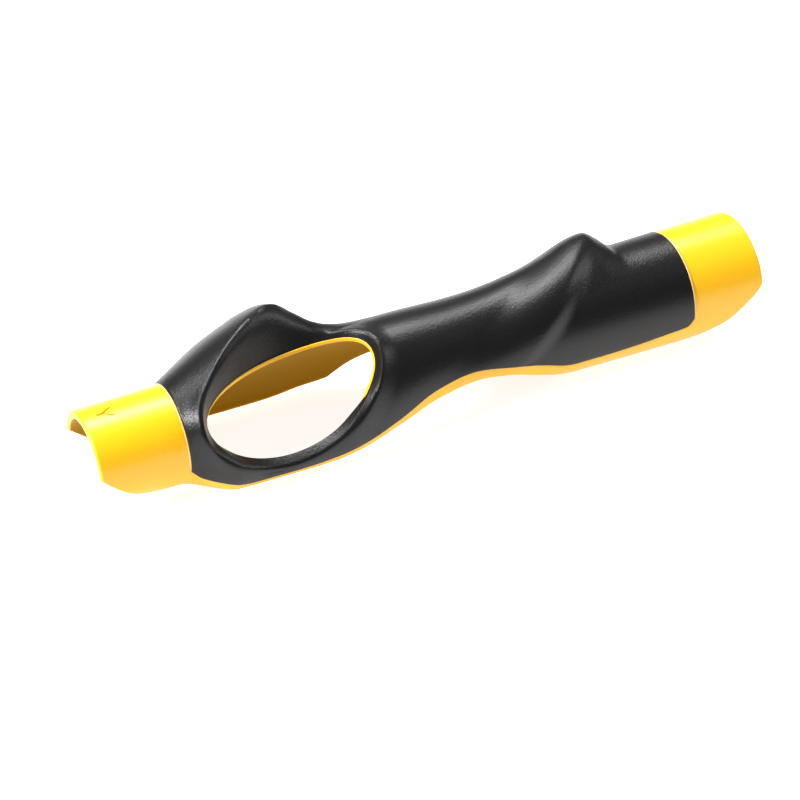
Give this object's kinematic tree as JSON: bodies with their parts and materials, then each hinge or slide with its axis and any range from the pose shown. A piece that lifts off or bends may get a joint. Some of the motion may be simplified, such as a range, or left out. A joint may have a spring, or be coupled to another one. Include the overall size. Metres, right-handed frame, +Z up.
{
  "type": "golf grip trainer",
  "caption": "Clip-on golf grip trainer: an open yellow plastic channel with a soft black skin, a thumb window, raised hand fins and a sunken aiming arrow.",
  "frame": {"origin": "on the channel's axis at the mouth of the butt end", "axes": "+X along the channel towards the club's butt end, +Z up through the crest, thumb window on the -Y side"},
  "size_m": [0.2, 0.0442, 0.0367],
  "materials": {
    "yellow_plastic": "satin moulded ABS",
    "black_rubber": "fine-grained satin thermoplastic rubber"
  },
  "bodies": {
    "root": {"clip_shell": "yellow_plastic", "soft_grip": "black_rubber"}
  },
  "joints": []
}
